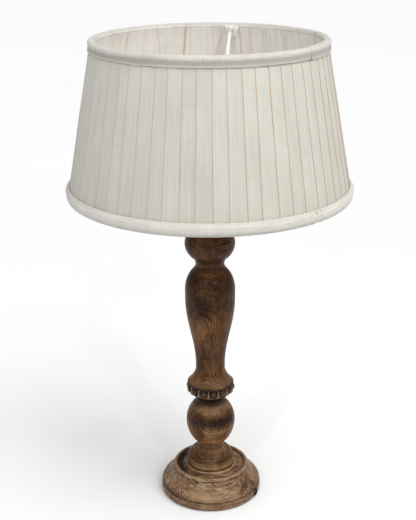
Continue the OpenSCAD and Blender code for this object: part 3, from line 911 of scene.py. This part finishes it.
def build_cover():
    """Knife pleats. Each one's fold stands over the end of the pleat on its left."""
    # One pleat: how far along it, how high it stands (1 is the fold, -1 the hidden back), and how
    # much tan shadow it holds.
    path = [
        (0.000, 0.80, 0.6),
        (0.012, 0.92, 0.15),
        (0.05, 0.92, 0.0),
        (0.20, 0.72, 0.0),
        (0.45, 0.42, 0.0),
        (0.70, 0.18, 0.0),
        (0.90, 0.02, 0.0),
        (0.965, -0.05, 0.05),
        (0.99, -0.08, 0.6),
        (1.03, -0.14, 1.0),
        (1.12, -0.30, 1.0),
        (1.20, -0.52, 1.0),
        (1.205, -0.24, 1.0),
        (1.10, 0.02, 1.0),
        (1.02, 0.25, 1.0),
        (0.995, 0.45, 1.0),
        (0.992, 0.65, 0.9),
    ]
    steps = len(path)
    rows = 34
    inset, fold_h = 0.5, 0.68
    low, high = SHADE_BOTTOM + 3, SHADE_TOP - 3.2
    spacing = 2 * math.pi / PLEATS
    start = [FIRST_FOLD + spacing * (p + rng.uniform(-0.075, 0.075)) for p in range(PLEATS)]
    lean = [rng.uniform(-0.05, 0.05) * spacing for _ in range(PLEATS)]
    # How strong each fold's painted tan shadow is.
    tan = [rng.uniform(0.65, 1.25) for _ in range(PLEATS)]
    tint = [rng.uniform(-0.06, 0.06) for _ in range(PLEATS)]

    def fold(p, t):
        """The angle of fold p at height t, from 0 at the bottom to 1."""
        turns, p = divmod(p, PLEATS)
        drift = 0.03 * spacing * noise.noise(Vector((p * 3.7, t * 2.5, 1.0)))
        return start[p] + lean[p] * (t - 0.5) + drift + 2 * math.pi * turns

    def place(i, j):
        p, k = divmod(i, steps)
        t = j / (rows - 1)
        share, stand, _ = path[k]
        a0, a1 = fold(p, t), fold(p + 1, t)
        z = low + (high - low) * t
        angle = a0 + (a1 - a0) * share
        breath = 0.35 * noise.noise(Vector((p * 1.3 + share, t * 3.0, 4.0)))
        r = wall(z) - inset + fold_h * stand + breath * math.sin(math.pi * t)
        return at(r, angle, z)

    def fold_shadow_and_marks(i, j):
        p, k = divmod(i, steps)
        fade = 0.8 + 0.4 * noise.noise(Vector((p * 2.1, j * 0.12, 9.0)))
        return max(0.0, min(1.0, path[k][2] * tan[(p + 1) % PLEATS if k > 5 else p] * fade))

    # Painted light and shade: lighter towards the top, darker along each pleat away from its fold,
    # and a random tone per pleat.
    def shade(i, j):
        p, k = divmod(i, steps)
        return 0.22 + 0.42 * j / (rows - 1) + tint[p] - 0.06 * path[k][0]

    cloth = linen("pleated_linen", (0.48, 0.457, 0.394), (0.705, 0.682, 0.61), (0.62, 0.365, 0.16))
    sweep_sheet(
        "pleated_cover", "shade_cover", PLEATS * steps, rows, place, fold_shadow_and_marks, shade,
        cloth, thick=0.28,
    )


# Each seam of the lining: its direction at the top in degrees from the front, how steeply it starts
# to slant in degrees over the shade's height, its half width in degrees, and its strength.
LINING_SEAMS = [
    (192.3, -4, 0.50, 1.0),
    (209.3, 16, 0.40, 0.5),
    (227.8, -6, 0.40, 0.6),
    (239.2, -12, 0.40, 0.6),
    (170.4, -30, 0.50, 0.5),
    (162.3, 0, 0.35, 0.9),
    (157.0, 2, 0.45, 0.45),
    (124.2, 20, 0.50, 0.35),
    (106.6, 0, 0.45, 1.0),
    (300.0, -2, 0.45, 0.8),
    (338.0, 5, 0.40, 0.6),
    (20.0, 4, 0.45, 0.8),
    (66.0, -6, 0.40, 0.6),
]
# Tan stains on the lining: direction in degrees from the front, height below the top, half width in
# degrees, half height, and strength.
LINING_STAINS = [
    (166.0, 15, 1.0, 4.5, 0.55),
    (166.5, 24, 0.9, 3.0, 0.4),
    (206.5, 6, 1.8, 2.2, 0.4),
    (108.0, 12, 1.0, 9.0, 0.5),
    (331.0, 60, 3.0, 9.0, 0.25),
]
SLANT_SHARE = 0.3  # the share of the shade's height over which a seam of the lining slants
SEAM_OUT = 0.55
LINING_IN = 4.4
PUCKER_IN = 1.5
SEWN_IN = 6.05


def build_lining():
    """Thin cloth drawn down inside the wires, puckered where it is sewn to the top ring."""
    columns, rows = 720, 44
    low, high = SHADE_BOTTOM + 5.0, SHADE_TOP - 2.9

    def where(i, j):
        """The direction of a point of the grid, and its height from 0 to 1."""
        return 2 * math.pi * i / columns, j / (rows - 1)

    def gather(angle, t):
        """The small gathers at the sewn edge, from -1 to 1."""
        return ring_noise(angle, 70, t * 5)

    def fine(angle, t):
        """The fine creases, from -1 to 1."""
        return ring_noise(angle, 34, t * 2.0 + 7)

    def pucker(angle, t):
        """How far a fold of the lining stands in, from 0 to 1."""
        broad = ring_noise(angle + 0.05 * t, 9, t * 1.1)
        blotch = ring_noise(angle, 16, t * 9 + 2)
        strength = 0.45 + 0.55 * ease((t - 0.72) / 0.28)
        return max(0.0, 0.5 + 0.55 * broad + 0.3 * fine(angle, t) + 0.25 * blotch) * strength

    def seam(angle, t):
        """How near the nearest seam is, from 0 to 1."""
        best = 0.0
        slid = -SLANT_SHARE * math.tanh((1 - t) / SLANT_SHARE)
        for azimuth, slant, width, strength in LINING_SEAMS:
            gap = math.degrees(turn_apart(angle, facing(azimuth + slant * slid)))
            if gap < 4 * width:
                best = max(best, strength * bell(gap, 0.0, width))
        return best

    def place(i, j):
        angle, t = where(i, j)
        z = low + (high - low) * t
        sewn = ease((t - 0.93) / 0.05)
        r = wall(z) - LINING_IN - PUCKER_IN * pucker(angle, t) + SEAM_OUT * seam(angle, t)
        r += sewn * (wall(z) - SEWN_IN - 0.25 * gather(angle, t) - r)
        return at(r, angle, z)

    def stain_at(angle, t):
        down = (high - low) * (1 - t)
        best = 0.0
        for azimuth, below, wide, tall, strength in LINING_STAINS:
            gap = math.degrees(turn_apart(angle, facing(azimuth)))
            best = max(best, strength * bell(gap, 0, wide) * bell(down, below, tall))
        return best

    # Painted shadow in the troughs of the fine wrinkles, with seams, stains and faint lines.
    def fold_shadow_and_marks(i, j):
        angle, t = where(i, j)
        line = ring_noise(angle, 60, t * 0.9 + 3)
        marks = max(0.95 * seam(angle, t), stain_at(angle, t))
        return min(1.0, marks + 0.25 * max(0.0, -fine(angle, t)) + 0.6 * max(0.0, line - 0.3))

    # Painted light on the puckers that stand in, and painted light and shade on the gathers near the
    # top.
    def shade(i, j):
        angle, t = where(i, j)
        return 0.4 + 0.7 * pucker(angle, t) + 0.5 * ease((t - 0.86) / 0.1) * gather(angle, t)

    # The lining's cloth is pale, and painted lighter still for the light that comes through the
    # shade.
    cloth = linen("lining_linen_lit_through", (0.70, 0.635, 0.565), (0.94, 0.90, 0.84), (0.62, 0.42, 0.26))
    sweep_sheet(
        "gathered_lining", "shade_lining", columns, rows, place, fold_shadow_and_marks, shade,
        cloth, thick=0.22,
    )


def wrapped_strip(node, section, material, seed, tuck, patches, edge_brown_and_shadow):
    """A strip of cloth round one edge of the shade and its wire ring. section is its cut: radius,
    height and how dark it is painted there, a painted shade. tuck is the height of its drag lines.
    patches are where a second layer overlaps the first: from one direction to another, in degrees
    from the front, and how far it stands out. The last argument is the brown of the sewn edge: its
    stitching, with painted shadow under the edge."""
    columns = 900
    outline = fill_in([point[:2] for point in section], 0.8)

    def ripple(angle, s):
        """Soft diagonal drag lines in the strip, in millimetres."""
        lean = angle + 0.03 * s
        soft = ring_noise(lean, 26, s * 0.25 + seed)
        small = ring_noise(lean, 90, s * 0.5 + seed)
        return tuck * (0.7 * soft + 0.3 * small)

    def overlap(angle):
        """How far a second layer stands out here, in millimetres."""
        turn = (math.degrees(angle) + 90) % 360
        out, ramp = 0.0, 0.35
        for start, end, thick in patches:
            into, left = (turn - start) % 360, (end - turn) % 360
            if into + left < 360:
                out = max(out, thick * ease(into / ramp) * ease(left / ramp))
        return out

    def joint(angle):
        """How near an overlap's end is, from 0 to 1."""
        turn = math.degrees(angle) + 90
        gaps = [abs((turn - end + 180) % 360 - 180) for patch in patches for end in patch[:2]]
        return max((bell(gap, 0.0, 0.42) for gap in gaps), default=0.0)

    def tone(r, z):
        """How dark the strip is painted at one place of its cut, a painted shade, from the nearest
        of the given points.
        """
        return min(section, key=lambda point: math.hypot(point[0] - r, point[1] - z))[2]

    painted_darkness = [tone(r, z) for r, z in outline]
    near = [painted_darkness[max(0, j - 2) : j + 3] for j in range(len(painted_darkness))]
    painted_darkness = [sum(few) / len(few) for few in near]

    def place(i, j):
        angle = 2 * math.pi * i / columns
        r, z = outline[j]
        r0, z0 = outline[max(0, j - 1)]
        r1, z1 = outline[min(len(outline) - 1, j + 1)]
        length = math.hypot(r1 - r0, z1 - z0) or 1.0
        out = ripple(angle, j) + overlap(angle)
        r += out * (z1 - z0) / length
        z -= out * (r1 - r0) / length
        return at(r, angle, z)

    # Brown at the sewn edge, its stitching with painted shadow under the edge; brown at the
    # overlaps' ends; painted shadow in the troughs of the drag lines.
    def fold_shadow_and_marks(i, j):
        angle = 2 * math.pi * i / columns
        edge = edge_brown_and_shadow * bell(j, 0, 1.1)
        worn = 0.6 + 0.8 * noise.noise(Vector((9 * j, angle * 3, seed)))
        sewn = 0.3 + 0.7 * ease((8 - j) / 5)
        drag = 0.15 * max(0.0, -ripple(angle, j) / tuck)
        return min(1.0, max(edge, 0.95 * joint(angle) * worn * sewn, drag))

    # Painted shade across the cut, and painted light on the crests of the drag lines.
    def shade(i, j):
        return 0.75 - painted_darkness[j] + 0.25 * ripple(2 * math.pi * i / columns, j) / tuck

    sweep_sheet(
        f"{node}_wrapped", node, columns, len(outline), place, fold_shadow_and_marks, shade,
        material, thick=0.45,
    )


def build_top_trim(cloth):
    """The band round the top: a flat foot with a sewn line, and a roll over the wire."""
    z = SHADE_TOP - 4.1
    r = wall(z) - 1.6
    low = SHADE_TOP - TOP_TRIM_H
    foot = wall(low)
    roll = arc(r, z, 4.25, 3.85, -22, 180, 24)
    # The third number of each point is painted shade: dark in the band under the roll, and none over
    # the roll's top.
    section = [
        (foot + 0.4, low + 0.8, 0.3),
        (foot + 0.95, low + 0.1, 0.3),
        (foot + 1.3, low + 0.9, 0.25),
        (foot + 0.95, low + 2.8, 1.0),
        (foot + 0.6, low + 4.8, 1.2),
        (foot + 0.6, low + 6.4, 0.9),
        *[(x, y, max(0.0, 0.4 - 0.08 * k)) for k, (x, y) in enumerate(roll)],
        (r - 4.3, z - 1.3, 0.2),
    ]
    wrapped_strip(
        "top_trim", section, cloth,
        seed=3.0, tuck=0.26, patches=[(51, 106.6, 0.5), (240, 243, 0.4)], edge_brown_and_shadow=0.9,
    )


def build_bottom_trim(cloth):
    """The roll round the bottom, which stands out from the pleats."""
    z = SHADE_BOTTOM + 6.2
    r = wall(z) - 1.8
    high = SHADE_BOTTOM + LOW_TRIM_H
    under = arc(r, z, 4.3, 5.95, 8, -180, 26)
    # The third number of each point is painted shade, which grows under the roll.
    section = [
        (wall(high) + 0.4, high - 0.5, 0.25),
        (wall(high) + 1.3, high - 0.1, 0.1),
        (wall(high) + 2.5, high - 0.5, 0.0),
        (wall(high - 2) + 3.4, high - 2, 0.0),
        (wall(high - 4) + 4.0, high - 4, 0.0),
        *[(x, y, min(0.75, 0.05 + 0.11 * k)) for k, (x, y) in enumerate(under)],
        (wall(z + 6) - 5.6, z + 6, 0.5),
    ]
    wrapped_strip(
        "bottom_trim", section, cloth,
        seed=8.0, tuck=0.24, patches=[(42.5, 45.5, 0.45)], edge_brown_and_shadow=0.4,
    )


def build_wraps(cloth):
    """A tuft of cloth gathered round each carrier arm where it meets the top ring."""
    columns, rows = 44, 26
    drop, inset, depth = 15.5, 4.9, 5.0
    top = SHADE_TOP - 2.4
    for number in (1, 2, 3):
        low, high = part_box(f"carrier_arm_{number}")
        middle = (low + high) / 2
        turn = math.atan2(middle.y, middle.x)

        def folds(i, j):
            """Where a point lies in the wrap, across and down, and the wave of the folds there."""
            u, v = 2 * i / (columns - 1) - 1, j / (rows - 1)
            return u, v, math.sin(13 * u * (0.5 + v) + 2 * number + 2.5 * v)

        def place(i, j):
            u, v, wave = folds(i, j)
            hem = 1 - 0.22 * abs(u) - 0.35 * min(0.0, u) + 0.1 * math.sin(7 * u + number)
            z = top - drop * v * hem
            angle = turn + u * (0.062 if u > 0 else 0.098) * (1 - 0.2 * v)
            lump = noise.noise(Vector((3.2 * u, 4 * v, 5.0 * number)))
            rise = max(0.0, 1 - u * u) ** 0.6 * max(0.0, 1 - abs(2 * v - 0.75) ** 3 / 3)
            rise *= 1 - ease((v - 0.8) / 0.2)
            rise *= 0.15 + 0.85 * ease(v / 0.22)
            r = wall(z) - inset - rise * (depth + 1.1 * (0.5 + 0.5 * wave) + 1.6 * lump)
            return at(r, angle, z)

        # Painted shadow in the troughs of the folds and along the wrap's sides.
        def fold_shadow_and_marks(i, j):
            u, _, wave = folds(i, j)
            return 0.35 * (0.5 - 0.5 * wave) ** 3 + 0.5 * ease((abs(u) - 0.85) / 0.15)

        sweep_sheet(
            f"arm_wrap_{number}", None, columns, rows, place, fold_shadow_and_marks, lambda i, j: 0.9,
            cloth, thick=0.35, closed=False,
        )


# The stitches in the trims: direction in degrees from the front, height, how far out from the wall
# (less than 0 is a stitch over the top of the roll), and how many in a row.
STITCHES = [
    (51.2, SHADE_TOP - 8.4, 1.7, 4),
    (51.5, SHADE_TOP - 12.6, 1.9, 2),
    (106.6, SHADE_TOP - 0.35, -1.2, 3),
    (42.7, SHADE_BOTTOM + 13.0, 3.4, 2),
    (240.3, SHADE_TOP - 8.6, 1.6, 3),
]


def build_stitches():
    """Brown thread that holds the overlapping ends of the trims."""
    thread = moulded("brown_thread", (0.11, 0.05, 0.02), (0.24, 0.12, 0.05), 0.7, grain=900)
    half_length, thread_r, droop = 1.15, 0.55, 0.5
    pitch, top_pitch = 1.15, 1.3
    rings, sides = 7, 7
    points, faces = [], []
    for azimuth, z, out, count in STITCHES:
        for n in range(count):
            turn = facing(azimuth) + 0.0035 * (n % 2)
            height = z - pitch * n if out > 0 else z
            r = wall(height) + out + (0 if out > 0 else -top_pitch * n)
            centre = Vector(at(r, turn, height))
            side = Vector((-math.sin(turn), math.cos(turn), rng.uniform(-0.35, 0.35))).normalized()
            out_way = Vector(at(1, turn, 0)) if out > 0 else Vector((0, 0, 1))
            up = side.cross(out_way).normalized()
            first = len(points)
            for k in range(rings):
                share = k / (rings - 1) * 2 - 1
                thick = thread_r * math.sqrt(max(0.02, 1 - share * share))
                core = centre + side * half_length * share - out_way * droop * share * share
                for m in range(sides):
                    a = 2 * math.pi * m / sides
                    points.append(tuple(core + (out_way * math.cos(a) + up * math.sin(a)) * thick))
            last = first + (rings - 1) * sides
            faces += grid_faces(rings, sides, first=first)
            faces.append(tuple(first + m for m in reversed(range(sides))))
            faces.append(tuple(last + m for m in range(sides)))
    make_piece("trim_stitches", points, faces, thread, "shade")


def round_cord(name, r, z, thick, material, seed):
    """A thin cord sewn round the shade."""
    columns, sides = 720, 8
    lift = 0.2
    points = []
    for i in range(columns):
        angle = 2 * math.pi * i / columns
        wave = lift * ring_noise(angle, 20, seed)
        for k in range(sides):
            turn = 2 * math.pi * k / sides
            height = z + wave + thick / 2 * math.sin(turn)
            points.append(at(r + thick / 2 * math.cos(turn), angle, height))
    faces = [(a, d, c, b) for a, b, c, d in grid_faces(columns, sides, ring=True)]
    make_piece(name, points, faces, material, "shade")


# ---- everything ----

# The material of each CAD node that is carried over, by its slot in the record.
CAD_PAINT = {
    "felt": (felt,),
    "steel": (metal, "zinc_steel", (0.50, 0.50, 0.51), (0.66, 0.66, 0.67), 0.28),
    "brass": (metal, "brass_plate", (0.62, 0.42, 0.16), (0.80, 0.60, 0.28), 0.24, "round"),
    "black_rubber": (moulded, "gland_rubber", (0.003,) * 3, (0.007,) * 3, 0.7),
    "flex_sheath": (moulded, "flex_sheath", (0.012,) * 3, (0.03,) * 3, 0.55),
    "live_core": (moulded, "live_core", (0.14, 0.05, 0.02), (0.2, 0.08, 0.03), 0.4),
    "neutral_core": (moulded, "neutral_core", (0.02, 0.08, 0.36), (0.04, 0.12, 0.46), 0.4),
    "holder_plastic": (
        moulded, "holder_bakelite", (0.010, 0.010, 0.011), (0.025, 0.025, 0.027), 0.3, 0.2
    ),
    "ceramic_white": (moulded, "glazed_ceramic", (0.74, 0.73, 0.69), (0.82, 0.81, 0.78), 0.18, 0.4),
    "white_wire": (moulded, "white_enamel", (0.84, 0.85, 0.85), (0.90, 0.91, 0.91), 0.3, 0.2, 260),
    "opal_glass": (glass, "opal_glass", (0.93, 0.93, 0.91), 0.3, 0.25),
    "nickel": (metal, "nickel_plate", (0.55, 0.54, 0.52), (0.7, 0.69, 0.67), 0.2, "round"),
    "vitrite": (moulded, "vitrite", (0.006, 0.006, 0.008), (0.012, 0.012, 0.014), 0.12, 0.3),
    "clear_glass": (glass, "clear_glass", (0.93, 0.97, 0.97), 0.02, 0.9),
    "tungsten": (metal, "tungsten", (0.2, 0.2, 0.21), (0.3, 0.3, 0.31), 0.35),
}


def paint_cad_nodes():
    """Gives every carried-over CAD node a detailed material, by its slot in the record."""
    made = {}
    for part in frame["record"]["subparts"]:
        slot = part["material_slot"]
        if slot not in CAD_PAINT:
            continue
        if slot not in made:
            kind, *values = CAD_PAINT[slot]
            made[slot] = kind(*values)
        node = frame["nodes"][part["node"]]
        if not node.material_slots:
            node.data.materials.append(made[slot])
        for holder in node.material_slots:
            holder.material = made[slot]


add_camera()
add_studio()
paint_cad_nodes()
build_base()
build_lower_baluster()
build_bead_collar()
build_vase()
build_cap_ball()
build_cover()
build_lining()
trim_linen = linen(
    "trim_linen", (0.42, 0.404, 0.358), (0.80, 0.768, 0.71), (0.33, 0.235, 0.165), slub=0.3
)
build_top_trim(trim_linen)
build_bottom_trim(trim_linen)
build_wraps(linen("wrap_linen", (0.72, 0.68, 0.61), (0.92, 0.89, 0.83), (0.45, 0.34, 0.24)))
build_stitches()
cream = linen("piping_cloth", (0.70, 0.67, 0.57), (0.84, 0.81, 0.71), (0.5, 0.4, 0.3))
piping_z = SHADE_BOTTOM + LOW_TRIM_H + 0.3
round_cord("bottom_piping", wall(piping_z) + 1.0, piping_z, 1.5, cream, seed=1.0)
# The brown thread under the top trim's edge is its stitching, and also stands for the shadow under
# that edge.
seam_thread = moulded("seam_thread", (0.20, 0.145, 0.105), (0.33, 0.25, 0.19), 0.8, grain=900)
seam_z = SHADE_TOP - TOP_TRIM_H - 0.15
round_cord("top_seam", wall(seam_z) + 0.7, seam_z, 0.9, seam_thread, seed=2.0)

boxes = {"cad": cad_box, "visual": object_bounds()}
{key: [list(map(float, corner)) for corner in box] for key, box in boxes.items()}
